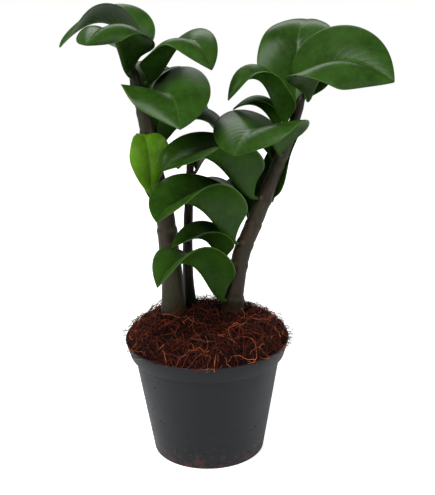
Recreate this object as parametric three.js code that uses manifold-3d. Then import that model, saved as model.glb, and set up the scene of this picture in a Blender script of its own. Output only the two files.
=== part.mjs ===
// A ZZ plant (Zamioculcas, the curly-leaved dwarf form) in a round plastic nursery pot.
// Three fleshy stems rise from buried rhizomes through a mound of coir potting mix, and each stem
// carries thick leaflets that stand up at the base, arch over and hang their tips.
// Millimetres, +Z up. The origin is the centre of the pot's underside, on the surface it stands on.
// The front is -Y and the right-hand side is +X.
import * as THREE from "three";
import { mergeVertices } from "three/addons/utils/BufferGeometryUtils.js";
import Module from "manifold-3d";

const wasm = await Module();
wasm.setup();

// ---------------------------------------------------------------------------------------------
// Driving sizes
// ---------------------------------------------------------------------------------------------
const clearance = 0.3; // gap kept between pieces that touch

const pot = {
  topDiameter: 120, // over the rim
  baseDiameter: 82,
  height: 88,
  wall: 1.4,
  rimHeight: 12, // the band around the mouth
  rimStep: 3, // how far the band stands out from the wall below it
  rimFlare: 3.5, // how much wider the band's radius is at its top than at its foot
  floor: 1.8,
  footHeight: 3, // the floor is raised this far off the table
  footWidth: 3.5, // the ring the pot stands on
  padDiameter: 26, // centre pad, level with the ring
  drainDiameter: 7,
  drainCount: 8,
  segments: 48,
};

const soil = {
  moundHeight: 14.5, // crown of the mound above the rim
  shoulder: 9, // height of the mound's shoulder above the rim
  shoulderInset: 9, // how far in from the rim the shoulder lies
  lipDrop: 1.5, // the mix meets the rim this far below its edge
  segments: 40,
};

const rhizome = { diameter: 24, height: 20 };
const buriedDepth = 30; // from the crown of the mound down to the tubers

// The plant was laid out at this height above the crown of the mound, and grows or shrinks as one.
const laidOutHeight = 228;
const plantHeight = 228;
const growth = plantHeight / laidOutHeight;

const leafThickness = 1.4;
const petioleWidth = 3.4;
const petioleLength = 4;
const reachEnd = 0.1; // share of a leaf's length in which it turns up from the stem
const curlFull = 0.5; // share of a leaf's length over which its curl builds up

// ---------------------------------------------------------------------------------------------
// Stems: a route from the crown of the mound to the growing tip, and the diameter along it
// ---------------------------------------------------------------------------------------------
const stems = {
  left: {
    route: [
      [-25, 16, 0], [-25, 17, 22], [-27, 17, 47], [-29, 17, 72],
      [-36, 16, 110], [-42, 14, 150], [-46, 13, 168], [-47, 12, 178],
    ],
    footDiameter: 19,
    waistDiameter: 14.5,
    tipDiameter: 7,
  },
  right: {
    route: [
      [19, 15, 0], [21, 15, 18], [26, 15, 43], [34, 15, 63],
      [44, 15, 88], [54, 15, 113], [63, 14, 138], [69, 14, 158],
    ],
    footDiameter: 17,
    waistDiameter: 12.5,
    tipDiameter: 6,
  },
  back: {
    route: [
      [-13, 32, 0], [-14, 32, 25], [-13, 32, 60], [-11, 33, 92],
      [-10, 34, 112], [-8, 35, 126],
    ],
    footDiameter: 9.5,
    waistDiameter: 7.5,
    tipDiameter: 4.5,
  },
};

// ---------------------------------------------------------------------------------------------
// Leaves. Angles are in degrees and lengths in millimetres.
//   at        place of the leaf along its stem, 0 at the soil and 1 at the tip
//   side      direction in which it leaves the stem, where that isn't its heading
//   heading   compass direction it grows in, at base and tip: 0 right, 90 back, 180 left, 270 front
//   rise      pitch of the midrib once it stands up, droop its pitch at the tip
//   reach     how much nearer the level it starts, where it leaves the stem
//   foldAt    place along the leaf where most of the bending is, and sharp how tight that bend is
//   roll      turn of the blade about its midrib, at the base and at the tip
//   cup       angle that the two half-blades stand up from the midrib, at the base and at the tip
//   curl      further turn from midrib to margin of the left and of the right half-blade
// ---------------------------------------------------------------------------------------------
const leafDefaults = {
  side: null,
  heading: [180, 180],
  rise: 75,
  droop: -50,
  reach: 50,
  foldAt: 0.5,
  sharp: 7,
  length: 78,
  width: 50,
  roll: [0, 0],
  cup: [75, 15],
  curl: [-40, -40],
};

const leaves = [
  // Right-hand stem, from the soil up
  {
    name: "leaf_right_1", stem: "right", at: 0.05, side: 240, heading: [197, 252],
    rise: 74, droop: -22, reach: 80, foldAt: 0.56, sharp: 8,
    length: 92, width: 50, roll: [26, 0], cup: [60, 50],
  },
  {
    name: "leaf_right_2", stem: "right", at: 0.209, side: 190, heading: [190, 212],
    rise: 68, droop: -16, reach: 70, foldAt: 0.54, sharp: 12,
    length: 54, width: 36, roll: [-10, 0], cup: [80, 45],
  },
  {
    name: "leaf_right_3", stem: "right", at: 0.31, side: 232, heading: [177, 255],
    rise: 65, droop: -16, reach: 70, foldAt: 0.56, sharp: 8,
    length: 94, width: 62, roll: [0, 0], cup: [88, 38],
  },
  {
    name: "leaf_right_4", stem: "right", at: 0.53, side: 232, heading: [178, 244],
    rise: 62, droop: -12, reach: 80, foldAt: 0.56, sharp: 9,
    length: 98, width: 62, roll: [0, 0], cup: [80, 22],
  },
  {
    name: "leaf_right_5", stem: "right", at: 0.74, side: 262, heading: [212, 254],
    rise: 75, droop: -28, foldAt: 0.42,
    length: 72, width: 68, cup: [60, 10],
  },
  {
    name: "leaf_right_6", stem: "right", at: 0.52, side: 30, heading: [50, 30],
    rise: 88, droop: 40,
    length: 62, width: 27, cup: [25, 25], curl: [-20, -20],
  },
  {
    name: "leaf_right_11", stem: "right", at: 0.405, side: 110, heading: [118, 128],
    rise: 66, droop: -60,
    length: 74, width: 48,
  },
  {
    name: "leaf_right_12", stem: "right", at: 0.69, side: 110, heading: [108, 118],
    rise: 68, droop: -55, reach: 85,
    length: 62, width: 44, cup: [55, 15],
  },
  {
    name: "leaf_right_7", stem: "right", at: 0.985, side: 335, heading: [-26, -30],
    rise: 86, droop: -28, reach: 50, foldAt: 0.42,
    length: 79, width: 66, roll: [0, 32], cup: [72, 35], curl: [-30, -140],
  },
  {
    name: "leaf_right_8", stem: "right", at: 0.95, side: 110, heading: [84, 70],
    rise: 90, droop: -10, reach: 95, foldAt: 0.62, sharp: 9,
    length: 94, width: 58, cup: [25, 15],
  },
  {
    name: "leaf_right_9", stem: "right", at: 0.87, side: 245, heading: [188, 208],
    rise: 70, droop: -50, reach: 60, foldAt: 0.66, sharp: 14,
    length: 70, width: 36, cup: [70, 40], curl: [-60, -40],
  },
  {
    name: "leaf_right_10", stem: "right", at: 0.84, side: 145, heading: [168, 178],
    rise: 66, droop: -30, reach: 90, foldAt: 0.66,
    length: 44, width: 26, cup: [70, 30],
  },

  // Left-hand stem, from the soil up
  {
    name: "leaf_left_1", stem: "left", at: 0.34, side: 100, heading: [97, 74],
    rise: 66, droop: -60, reach: 60,
    length: 60, width: 38,
  },
  {
    name: "leaf_left_2", stem: "left", at: 0.52, side: 90, heading: [88, 68],
    rise: 66, droop: -60,
    length: 76, width: 50,
  },
  {
    name: "leaf_left_3", stem: "left", at: 0.67, side: 60, heading: [38, 16],
    rise: 58, droop: -62,
    length: 78, width: 56,
  },
  {
    name: "leaf_left_4", stem: "left", at: 0.75, side: 238, heading: [292, 322],
    rise: 20, droop: -88, reach: 0, foldAt: 0.12, sharp: 12,
    length: 48, width: 34, roll: [0, 0], cup: [30, 25], curl: [-60, -40],
  },
  {
    name: "leaf_left_5", stem: "left", at: 0.835, side: 315, heading: [312, 275],
    rise: 64, droop: -42, foldAt: 0.42,
    length: 70, width: 62, roll: [14, 0], cup: [60, 10],
  },
  {
    name: "leaf_left_6", stem: "left", at: 0.875, side: 100, heading: [64, 10],
    rise: 50, droop: -66, reach: 70, foldAt: 0.5,
    length: 82, width: 50, cup: [60, 15],
  },
  {
    name: "leaf_left_7", stem: "left", at: 0.99, side: 90, heading: [122, 220],
    rise: 82, droop: -38, reach: 50, foldAt: 0.5, sharp: 9,
    length: 79, width: 50, roll: [0, 12], cup: [84, 34],
  },
  {
    name: "leaf_left_8", stem: "left", at: 0.98, side: 265, heading: [215, 262],
    rise: 88, droop: -22, reach: 100, foldAt: 0.54, sharp: 9,
    length: 76, width: 58, roll: [19, 0], cup: [82, 30], curl: [-130, -110],
  },
  {
    name: "leaf_left_9", stem: "left", at: 0.945, side: 350, heading: [-10, -60],
    rise: 60, droop: -52, reach: 75, foldAt: 0.64, sharp: 12,
    length: 79, width: 50, cup: [50, 20], curl: [-40, -80],
  },

  // Stem at the back
  {
    name: "leaf_back_1", stem: "back", at: 0.78, side: 50, heading: [50, 40],
    rise: 62, droop: -50, reach: 60,
    length: 44, width: 32,
  },
];

// ---------------------------------------------------------------------------------------------
// Small helpers
// ---------------------------------------------------------------------------------------------
const rad = THREE.MathUtils.degToRad;
const mix = (pair, t) => pair[0] + (pair[1] - pair[0]) * t;

// A closed mesh as a manifold-3d solid, and back.
function toSolid(geometry) {
  const bare = geometry.clone();
  bare.deleteAttribute("normal");
  bare.deleteAttribute("uv");
  const merged = mergeVertices(bare, 1e-4);
  return new wasm.Manifold(
    new wasm.Mesh({
      numProp: 3,
      vertProperties: new Float32Array(merged.attributes.position.array),
      triVerts: new Uint32Array(merged.index.array),
    }),
  );
}

function toGeometry(solid) {
  const mesh = solid.getMesh();
  const geometry = new THREE.BufferGeometry();
  geometry.setAttribute("position", new THREE.BufferAttribute(mesh.vertProperties, 3));
  geometry.setIndex(new THREE.BufferAttribute(mesh.triVerts, 1));
  geometry.computeVertexNormals();
  return geometry;
}

// A LatheGeometry turned so that its axis is Z. The profile is a list of [radius, height].
function lathe(profile, segments) {
  const points = profile.map(([r, z]) => new THREE.Vector2(r, z));
  return new THREE.LatheGeometry(points, segments).rotateX(Math.PI / 2);
}

// A closed skin from a grid of rows, each a closed loop of points, with a fan at either end.
function closedTube(rows) {
  const count = rows[0].length;
  const positions = rows.flat().flatMap((p) => [p.x, p.y, p.z]);
  const index = [];
  for (let i = 0; i + 1 < rows.length; i++) {
    for (let j = 0; j < count; j++) {
      const a = i * count + j;
      const b = i * count + ((j + 1) % count);
      index.push(a, b, b + count, a, b + count, a + count);
    }
  }
  const last = (rows.length - 1) * count;
  for (let j = 1; j + 1 < count; j++) {
    index.push(0, j + 1, j);
    index.push(last, last + j, last + j + 1);
  }
  const geometry = new THREE.BufferGeometry();
  geometry.setAttribute("position", new THREE.Float32BufferAttribute(positions, 3));
  geometry.setIndex(index);
  geometry.computeVertexNormals();
  return geometry;
}

// ---------------------------------------------------------------------------------------------
// Pot
// ---------------------------------------------------------------------------------------------
const bandFoot = pot.height - pot.rimHeight;
const bandFootRadius = pot.topDiameter / 2 - pot.rimFlare;
const wallTopRadius = bandFootRadius - pot.rimStep;
const floorTop = pot.footHeight + pot.floor;

// Outer radius of the tapered wall at a height.
function wallRadius(z) {
  return THREE.MathUtils.lerp(pot.baseDiameter / 2, wallTopRadius, z / bandFoot);
}

function potGeometry() {
  const pad = pot.padDiameter / 2;
  const ring = pot.baseDiameter / 2 - pot.footWidth;
  const profile = [
    [0, 0],
    [pad, 0],
    [pad + 1, pot.footHeight],
    [ring - 1, pot.footHeight],
    [ring, 0],
    [pot.baseDiameter / 2, 0],
    [wallTopRadius, bandFoot],
    [bandFootRadius, bandFoot],
    [pot.topDiameter / 2, pot.height],
    [pot.topDiameter / 2 - pot.wall, pot.height],
    [bandFootRadius - pot.wall, bandFoot + pot.wall],
    [wallTopRadius - pot.wall, bandFoot + pot.wall],
    [wallRadius(floorTop) - pot.wall, floorTop],
    [0, floorTop],
  ];
  let solid = toSolid(lathe(profile, pot.segments));
  const drainCircle = (pad + ring) / 2;
  const drill = new THREE.CylinderGeometry(pot.drainDiameter / 2, pot.drainDiameter / 2, 3 * floorTop, 12);
  drill.rotateX(Math.PI / 2);
  for (let i = 0; i < pot.drainCount; i++) {
    const angle = (2 * Math.PI * (i + 0.5)) / pot.drainCount;
    const hole = drill.clone().translate(drainCircle * Math.cos(angle), drainCircle * Math.sin(angle), 0);
    solid = solid.subtract(toSolid(hole));
  }
  return toGeometry(solid);
}

// ---------------------------------------------------------------------------------------------
// Stems and rhizomes
// ---------------------------------------------------------------------------------------------
const crown = pot.height + soil.moundHeight; // height of the mound's crown

for (const stem of Object.values(stems)) {
  const route = stem.route.map(([x, y, z]) => new THREE.Vector3(x, y, z).multiplyScalar(growth));
  stem.curve = new THREE.CatmullRomCurve3(route, false, "centripetal");
  stem.foot = route[0];
}

// Stem radius at a place along it: a swollen foot, an even waist and a taper to the tip.
function stemRadius(stem, t) {
  const swell = (stem.footDiameter - stem.waistDiameter) * Math.exp(-7 * t);
  const taper = (stem.waistDiameter - stem.tipDiameter) * t ** 2.2;
  return ((stem.waistDiameter + swell - taper) * growth) / 2;
}

// Rings of points around the stem from its buried foot to its tip, widened by a margin.
function stemGeometry(stem, margin) {
  const sides = 12;
  const steps = 12;
  const up = new THREE.Vector3(0, 0, 1);
  const rows = [];
  const ring = (centre, tangent, radius) => {
    const turn = new THREE.Quaternion().setFromUnitVectors(up, tangent);
    return Array.from({ length: sides }, (_, j) => {
      const angle = (2 * Math.PI * j) / sides;
      return new THREE.Vector3(radius * Math.cos(angle), radius * Math.sin(angle), 0)
        .applyQuaternion(turn)
        .add(centre);
    });
  };
  const foot = stem.foot.clone();
  foot.z = -buriedDepth - margin;
  rows.push(ring(foot, up, stemRadius(stem, 0) * 0.8 + margin));
  for (let i = 0; i <= steps; i++) {
    const t = i / steps;
    rows.push(ring(stem.curve.getPointAt(t), stem.curve.getTangentAt(t), stemRadius(stem, t) + margin));
  }
  const tangent = stem.curve.getTangentAt(1);
  const tip = stem.curve.getPointAt(1).addScaledVector(tangent, stemRadius(stem, 1) + margin);
  rows.push(ring(tip, tangent, stemRadius(stem, 1) * 0.4 + margin));
  return closedTube(rows);
}

// A tuber under the stem's foot, widened by a margin.
function rhizomeGeometry(stem, margin) {
  const share = stem.footDiameter / stems.left.footDiameter;
  const wide = (rhizome.diameter / 2) * share + margin;
  const high = (rhizome.height / 2) * share + margin;
  const geometry = new THREE.SphereGeometry(1, 16, 10).rotateX(Math.PI / 2).scale(wide, wide, high);
  const top = -buriedDepth - clearance;
  return geometry.translate(stem.foot.x, stem.foot.y, top - high + margin);
}

// ---------------------------------------------------------------------------------------------
// Potting mix: fills the pot and stands above the rim in a mound
// ---------------------------------------------------------------------------------------------
function soilGeometry() {
  const inside = (z) => wallRadius(z) - pot.wall - clearance;
  const mouth = pot.topDiameter / 2 - pot.wall - clearance;
  const bottom = floorTop + clearance;
  const profile = [
    [0, bottom],
    [inside(bottom), bottom],
    [inside(bandFoot), bandFoot + pot.wall],
    [inside(bandFoot), bandFoot + pot.wall + clearance],
    [bandFootRadius - pot.wall - clearance, bandFoot + pot.wall + clearance],
    [mouth - 0.4, pot.height - soil.lipDrop],
    [mouth - 0.25 * soil.shoulderInset, pot.height + 0.45 * soil.shoulder],
    [mouth - 0.6 * soil.shoulderInset, pot.height + 0.8 * soil.shoulder],
    [mouth - 1.1 * soil.shoulderInset, pot.height + soil.shoulder],
    [mouth * 0.62, pot.height + soil.shoulder + 0.6 * (soil.moundHeight - soil.shoulder)],
    [mouth * 0.3, crown - 0.4],
    [0, crown],
  ];
  let solid = toSolid(lathe(profile, soil.segments));
  for (const stem of Object.values(stems)) {
    for (const geometry of [stemGeometry(stem, clearance), rhizomeGeometry(stem, clearance)]) {
      solid = solid.subtract(toSolid(geometry.translate(0, 0, crown)));
    }
  }
  return toGeometry(solid);
}

// ---------------------------------------------------------------------------------------------
// Leaves
// ---------------------------------------------------------------------------------------------

// Share of the bending done at u, an S-curve centred on foldAt.
function bent(u, leaf) {
  const s = (x) => 1 / (1 + Math.exp(-leaf.sharp * (x - leaf.foldAt)));
  return (s(u) - s(0)) / (s(1) - s(0));
}

// Half-width of the blade at u as a share of its greatest: round at the base, pointed at the tip.
function bladeProfile(u) {
  const rise = 0.5;
  const fall = 0.92;
  const peak = rise / (rise + fall);
  const shape = (x) => x ** rise * (1 - x) ** fall;
  return shape(u) / shape(peak);
}

// Midrib points and the frame (along, left, up) at even steps of u.
function midrib(leaf) {
  const steps = 48;
  const stem = stems[leaf.stem];
  const origin = stem.curve.getPointAt(leaf.at);
  const tangent = stem.curve.getTangentAt(leaf.at);
  const out = rad(leaf.side ?? leaf.heading[0]);
  const away = new THREE.Vector3(Math.cos(out), Math.sin(out), 0);
  away.addScaledVector(tangent, -away.dot(tangent)).normalize();
  const length = leaf.length * growth;
  const gap = clearance + leafThickness * growth;
  const place = origin.addScaledVector(away, stemRadius(stem, leaf.at) + gap);
  const frames = [];
  for (let i = 0; i <= steps; i++) {
    const u = i / steps;
    const pitch = rad(mix([leaf.rise, leaf.droop], bent(u, leaf)) - leaf.reach * Math.exp(-u / reachEnd));
    const yaw = rad(mix(leaf.heading, u));
    const ahead = new THREE.Vector3(Math.cos(yaw), Math.sin(yaw), 0);
    const along = ahead.multiplyScalar(Math.cos(pitch)).setZ(Math.sin(pitch));
    const left = new THREE.Vector3(-Math.sin(yaw), Math.cos(yaw), 0);
    left.applyAxisAngle(along, rad(mix(leaf.roll, u)));
    const up = along.clone().cross(left);
    if (i > 0) place.addScaledVector(along, length / steps);
    frames.push({ place: place.clone(), along, left, up });
  }
  return frames;
}

// A point of the blade: u runs from base to tip, v from the right margin (-1) to the left (1).
function bladePoint(leaf, frames, u, v) {
  const f = frames[Math.round(u * (frames.length - 1))];
  const length = leaf.length * growth;
  const start = (petioleLength * growth) / length;
  const blade = Math.max(0, (u - start) / (1 - start));
  const halfWidth = Math.max(
    (petioleWidth / 2) * growth * (u < 0.5 ? 1 : 0.25),
    ((leaf.width * growth) / 2) * bladeProfile(blade),
  );
  const cup = rad(mix(leaf.cup, bent(u, leaf)));
  const curl = rad(v > 0 ? leaf.curl[0] : leaf.curl[1]) * THREE.MathUtils.smoothstep(u, 0, curlFull);
  const a = Math.abs(v);
  const straight = Math.abs(curl) < 1e-3;
  const across = straight ? a * Math.cos(cup) : (Math.sin(cup + curl * a) - Math.sin(cup)) / curl;
  const rise = straight ? a * Math.sin(cup) : (Math.cos(cup) - Math.cos(cup + curl * a)) / curl;
  return f.place
    .clone()
    .addScaledVector(f.left, Math.sign(v) * across * halfWidth)
    .addScaledVector(f.up, rise * halfWidth);
}

function leafGeometry(leaf) {
  const frames = midrib(leaf);
  const half = (leafThickness * growth) / 2;
  const along = [0, 2, 5, 9, 14, 20, 26, 32, 38, 44, 48].map((i) => i / 48);
  const across = [-1, -0.7, -0.35, 0, 0.35, 0.7, 1];
  const grid = along.map((u) => across.map((v) => bladePoint(leaf, frames, u, v)));
  const within = (i, list) => Math.min(Math.max(i, 0), list.length - 1);
  const at = (i, j) => grid[within(i, along)][within(j, across)];
  const rows = grid.map((row, i) => {
    const upper = [];
    const lower = [];
    row.forEach((p, j) => {
      const du = at(i + 1, j).clone().sub(at(i - 1, j));
      const dv = at(i, j + 1).clone().sub(at(i, j - 1));
      const normal = du.cross(dv).normalize();
      upper.push(p.clone().addScaledVector(normal, half));
      lower.unshift(p.clone().addScaledVector(normal, -half));
    });
    return [...upper, ...lower];
  });
  return closedTube(rows.map((r) => r.reverse()));
}

// ---------------------------------------------------------------------------------------------
// Colours and assembly
// ---------------------------------------------------------------------------------------------
const finish = (color, roughness) => new THREE.MeshStandardMaterial({ color, roughness, metalness: 0 });
const plastic = finish(0x3b3f45, 0.45);
const coir = finish(0x4a2215, 0.95);
const tuber = finish(0xb59a6a, 0.8);
const stemSkin = finish(0x4b3d2c, 0.5);
const leafSkin = finish(0x2c5a23, 0.32);

const group = new THREE.Group();
function add(parent, name, geometry, material) {
  const mesh = new THREE.Mesh(geometry, material);
  mesh.name = name;
  parent.add(mesh);
}

add(group, "nursery_pot", potGeometry(), plastic);
add(group, "potting_mix", soilGeometry(), coir);

const plant = new THREE.Group();
plant.position.z = crown;
group.add(plant);
for (const [name, stem] of Object.entries(stems)) {
  add(plant, `rhizome_${name}`, rhizomeGeometry(stem, 0), tuber);
  add(plant, `stem_${name}`, stemGeometry(stem, 0), stemSkin);
}
for (const leaf of leaves) add(plant, leaf.name, leafGeometry({ ...leafDefaults, ...leaf }), leafSkin);

export default group;
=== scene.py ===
"""A ZZ plant in a round nursery pot, modelled around the packed solids of the same plant.

Metres, +Z up. The origin is the centre of the pot's underside, and the front is -Y.
Each piece takes its place from the solid that it stands for, and its size from the settings.
"""
import math
import random

import bpy
from mathutils import Matrix, Quaternion, Vector, noise


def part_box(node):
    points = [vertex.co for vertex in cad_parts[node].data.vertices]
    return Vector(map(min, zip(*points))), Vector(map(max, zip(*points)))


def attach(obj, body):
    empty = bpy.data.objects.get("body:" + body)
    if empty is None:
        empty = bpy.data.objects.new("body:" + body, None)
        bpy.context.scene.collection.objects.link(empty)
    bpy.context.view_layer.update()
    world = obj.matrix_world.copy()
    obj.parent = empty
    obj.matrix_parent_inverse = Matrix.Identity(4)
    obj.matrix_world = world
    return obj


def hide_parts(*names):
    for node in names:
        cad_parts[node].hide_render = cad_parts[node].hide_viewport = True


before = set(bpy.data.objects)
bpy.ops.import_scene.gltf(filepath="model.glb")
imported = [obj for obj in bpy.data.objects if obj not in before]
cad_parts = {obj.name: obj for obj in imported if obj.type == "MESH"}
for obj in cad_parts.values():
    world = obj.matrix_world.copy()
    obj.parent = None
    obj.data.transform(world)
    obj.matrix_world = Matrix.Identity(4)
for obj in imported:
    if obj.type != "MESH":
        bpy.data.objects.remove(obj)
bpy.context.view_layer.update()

bl_info = {
    "name": "Potted ZZ Plant",
    "version": (1, 0, 0),
    "blender": (4, 5, 0),
    "location": "View3D > Sidebar > ZZ Plant",
    "description": "Models a ZZ plant with curled leaves in a nursery pot",
    "category": "Add Mesh",
}

MM = 0.001
POT_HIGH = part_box("nursery_pot")[1]
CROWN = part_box("potting_mix")[1].z

# ----------------------------------------
# The plant's growth: stems and leaves, in millimetres from the crown of the mound
# ----------------------------------------
STEMS = {
    "left": {
        "route": [
            (-25, 16, 0), (-25, 17, 22), (-27, 17, 47), (-29, 17, 72),
            (-36, 16, 110), (-42, 14, 150), (-46, 13, 168), (-47, 12, 178),
        ],
        "foot": 19, "waist": 14.5, "tip": 7,
    },
    "right": {
        "route": [
            (19, 15, 0), (21, 15, 18), (26, 15, 43), (34, 15, 63),
            (44, 15, 88), (54, 15, 113), (63, 14, 138), (69, 14, 158),
        ],
        "foot": 17, "waist": 12.5, "tip": 6,
    },
    "back": {
        "route": [
            (-13, 32, 0), (-14, 32, 25), (-13, 32, 60), (-11, 33, 92),
            (-10, 34, 112), (-8, 35, 126),
        ],
        "foot": 9.5, "waist": 7.5, "tip": 4.5,
    },
}
BURIED = 30
CLEARANCE = 0.3
SOLID_LEAF = 1.4
PETIOLE_WIDTH = 3.4
PETIOLE_LENGTH = 4
REACH_END = 0.1
CURL_FULL = 0.5
PLACE_TOLERANCE = 0.004  # metres that a blade's box may differ from its solid's
MARGIN_WAVE = 0.55  # millimetres
MIDRIB_GROOVE = 0.45
BURIED_SHARE = 0.14  # share of a stalk's rows that lie in the mix
NODE_SWELL = 0.07
NODE_NECK = 0.05
STALK_WOBBLE = 0.045
RIM_OVERHANG = 0.004  # metres that a strand may lean out past the rim
WALL_CRUMBS = 90
STRAND_SEED = 11
CRUMB_SEED = 5
FLOOR_SIZE = 2.2
FLOOR_CAST = 0.15  # strength of the light that the floor's glow casts

# This leaf gets a brighter yellow-green copy of the leaf materials: painted light that stands in for the
# backlit glow through it.
PAINTED_BACKLIT_LEAVES = ("leaf_left_4",)

LEAF_DEFAULTS = {
    "side": None, "heading": (180, 180), "rise": 75, "droop": -50, "reach": 50, "foldAt": 0.5,
    "sharp": 7, "length": 78, "width": 50, "roll": (0, 0), "cup": (75, 15), "curl": (-40, -40),
}
LEAVES = [
    # Right-hand stem, from the soil up
    dict(
        name="leaf_right_1", stem="right", at=0.05, side=240, heading=(197, 252), rise=74, droop=-22,
        reach=80, foldAt=0.56, sharp=8, length=92, width=50, roll=(26, 0), cup=(60, 50),
    ),
    dict(
        name="leaf_right_2", stem="right", at=0.209, side=190, heading=(190, 212), rise=68, droop=-16,
        reach=70, foldAt=0.54, sharp=12, length=54, width=36, roll=(-10, 0), cup=(80, 45),
    ),
    dict(
        name="leaf_right_3", stem="right", at=0.31, side=232, heading=(177, 255), rise=65, droop=-16,
        reach=70, foldAt=0.56, sharp=8, length=94, width=62, cup=(88, 38),
    ),
    dict(
        name="leaf_right_4", stem="right", at=0.53, side=232, heading=(178, 244), rise=62, droop=-12,
        reach=80, foldAt=0.56, sharp=9, length=98, width=62, cup=(80, 22),
    ),
    dict(
        name="leaf_right_5", stem="right", at=0.74, side=262, heading=(212, 254), rise=75, droop=-28,
        foldAt=0.42, length=72, width=68, cup=(60, 10),
    ),
    dict(
        name="leaf_right_6", stem="right", at=0.52, side=30, heading=(50, 30), rise=88, droop=40,
        length=62, width=27, cup=(25, 25), curl=(-20, -20),
    ),
    dict(
        name="leaf_right_11", stem="right", at=0.405, side=110, heading=(118, 128), rise=66, droop=-60,
        length=74, width=48,
    ),
    dict(
        name="leaf_right_12", stem="right", at=0.69, side=110, heading=(108, 118), rise=68, droop=-55,
        reach=85, length=62, width=44, cup=(55, 15),
    ),
    dict(
        name="leaf_right_7", stem="right", at=0.985, side=335, heading=(-26, -30), rise=86, droop=-28,
        reach=50, foldAt=0.42, length=79, width=66, roll=(0, 32), cup=(72, 35), curl=(-30, -140),
    ),
    dict(
        name="leaf_right_8", stem="right", at=0.95, side=110, heading=(84, 70), rise=90, droop=-10,
        reach=95, foldAt=0.62, sharp=9, length=94, width=58, cup=(25, 15),
    ),
    dict(
        name="leaf_right_9", stem="right", at=0.87, side=245, heading=(188, 208), rise=70, droop=-50,
        reach=60, foldAt=0.66, sharp=14, length=70, width=36, cup=(70, 40), curl=(-60, -40),
    ),
    dict(
        name="leaf_right_10", stem="right", at=0.84, side=145, heading=(168, 178), rise=66, droop=-30,
        reach=90, foldAt=0.66, length=44, width=26, cup=(70, 30),
    ),
    # Left-hand stem, from the soil up
    dict(
        name="leaf_left_1", stem="left", at=0.34, side=100, heading=(97, 74), rise=66, droop=-60, reach=60,
        length=60, width=38,
    ),
    dict(
        name="leaf_left_2", stem="left", at=0.52, side=90, heading=(88, 68), rise=66, droop=-60, length=76,
        width=50,
    ),
    dict(
        name="leaf_left_3", stem="left", at=0.67, side=60, heading=(38, 16), rise=58, droop=-62, length=78,
        width=56,
    ),
    dict(
        name="leaf_left_4", stem="left", at=0.75, side=238, heading=(292, 322), rise=20, droop=-88,
        reach=0, foldAt=0.12, sharp=12, length=48, width=34, cup=(30, 25), curl=(-60, -40),
    ),
    dict(
        name="leaf_left_5", stem="left", at=0.835, side=315, heading=(312, 275), rise=64, droop=-42,
        foldAt=0.42, length=70, width=62, roll=(14, 0), cup=(60, 10),
    ),
    dict(
        name="leaf_left_6", stem="left", at=0.875, side=100, heading=(64, 10), rise=50, droop=-66,
        reach=70, length=82, width=50, cup=(60, 15),
    ),
    dict(
        name="leaf_left_7", stem="left", at=0.99, side=90, heading=(122, 220), rise=82, droop=-38,
        reach=50, sharp=9, length=79, width=50, roll=(0, 12), cup=(84, 34),
    ),
    dict(
        name="leaf_left_8", stem="left", at=0.98, side=265, heading=(215, 262), rise=88, droop=-22,
        reach=100, foldAt=0.54, sharp=9, length=76, width=58, roll=(19, 0), cup=(82, 30),
        curl=(-130, -110),
    ),
    dict(
        name="leaf_left_9", stem="left", at=0.945, side=350, heading=(-10, -60), rise=60, droop=-52,
        reach=75, foldAt=0.64, sharp=12, length=79, width=50, cup=(50, 20), curl=(-40, -80),
    ),
    # Stem at the back
    dict(
        name="leaf_back_1", stem="back", at=0.78, side=50, heading=(50, 40), rise=62, droop=-50, reach=60,
        length=44, width=32,
    ),
]


def mix(pair, t):
    return pair[0] + (pair[1] - pair[0]) * t


def smoothstep(x, low, high):
    t = min(max((x - low) / (high - low), 0.0), 1.0)
    return t * t * (3 - 2 * t)


class StemPath:
    """A stem's centre line as a centripetal Catmull-Rom curve, read by its share of length."""

    def __init__(self, stem):
        self.stem = stem
        self.points = [Vector(p) for p in stem["route"]]
        steps = 400
        self.places = [self.raw(i / steps) for i in range(steps + 1)]
        self.lengths = [0.0]
        for a, b in zip(self.places, self.places[1:]):
            self.lengths.append(self.lengths[-1] + (b - a).length)

    def raw(self, t):
        pts = self.points
        at = (len(pts) - 1) * t
        i = min(int(at), len(pts) - 2)
        w = at - i
        p1, p2 = pts[i], pts[i + 1]
        p0 = pts[i - 1] if i > 0 else p1 * 2 - p2
        p3 = pts[i + 2] if i + 2 < len(pts) else p2 * 2 - p1
        d0, d1, d2 = ((b - a).length ** 0.5 for a, b in ((p0, p1), (p1, p2), (p2, p3)))
        t1 = ((p1 - p0) / d0 - (p2 - p0) / (d0 + d1) + (p2 - p1) / d1) * d1
        t2 = ((p2 - p1) / d1 - (p3 - p1) / (d1 + d2) + (p3 - p2) / d2) * d1
        c2 = -3 * p1 + 3 * p2 - 2 * t1 - t2
        c3 = 2 * p1 - 2 * p2 + t1 + t2
        return p1 + t1 * w + c2 * w * w + c3 * w * w * w

    def at(self, share):
        """Place on the path at a share of its length."""
        want = min(max(share, 0.0), 1.0) * self.lengths[-1]
        i = 1
        while i < len(self.lengths) - 1 and self.lengths[i] < want:
            i += 1
        span = self.lengths[i] - self.lengths[i - 1]
        return self.places[i - 1].lerp(self.places[i], (want - self.lengths[i - 1]) / span)

    def tangent(self, share):
        step = 0.004
        return (self.at(min(share + step, 1)) - self.at(max(share - step, 0))).normalized()

    def radius(self, share):
        s = self.stem
        swell = (s["foot"] - s["waist"]) * math.exp(-7 * share)
        return (s["waist"] + swell - (s["waist"] - s["tip"]) * share**2.2) / 2


PATHS = {name: StemPath(stem) for name, stem in STEMS.items()}


# ----------------------------------------
# Making and finishing pieces
# ----------------------------------------
def deselect():
    if bpy.context.mode != "OBJECT":
        bpy.ops.object.mode_set(mode="OBJECT")
    bpy.ops.object.select_all(action="DESELECT")


def activate(obj):
    deselect()
    obj.select_set(True)
    bpy.context.view_layer.objects.active = obj


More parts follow.
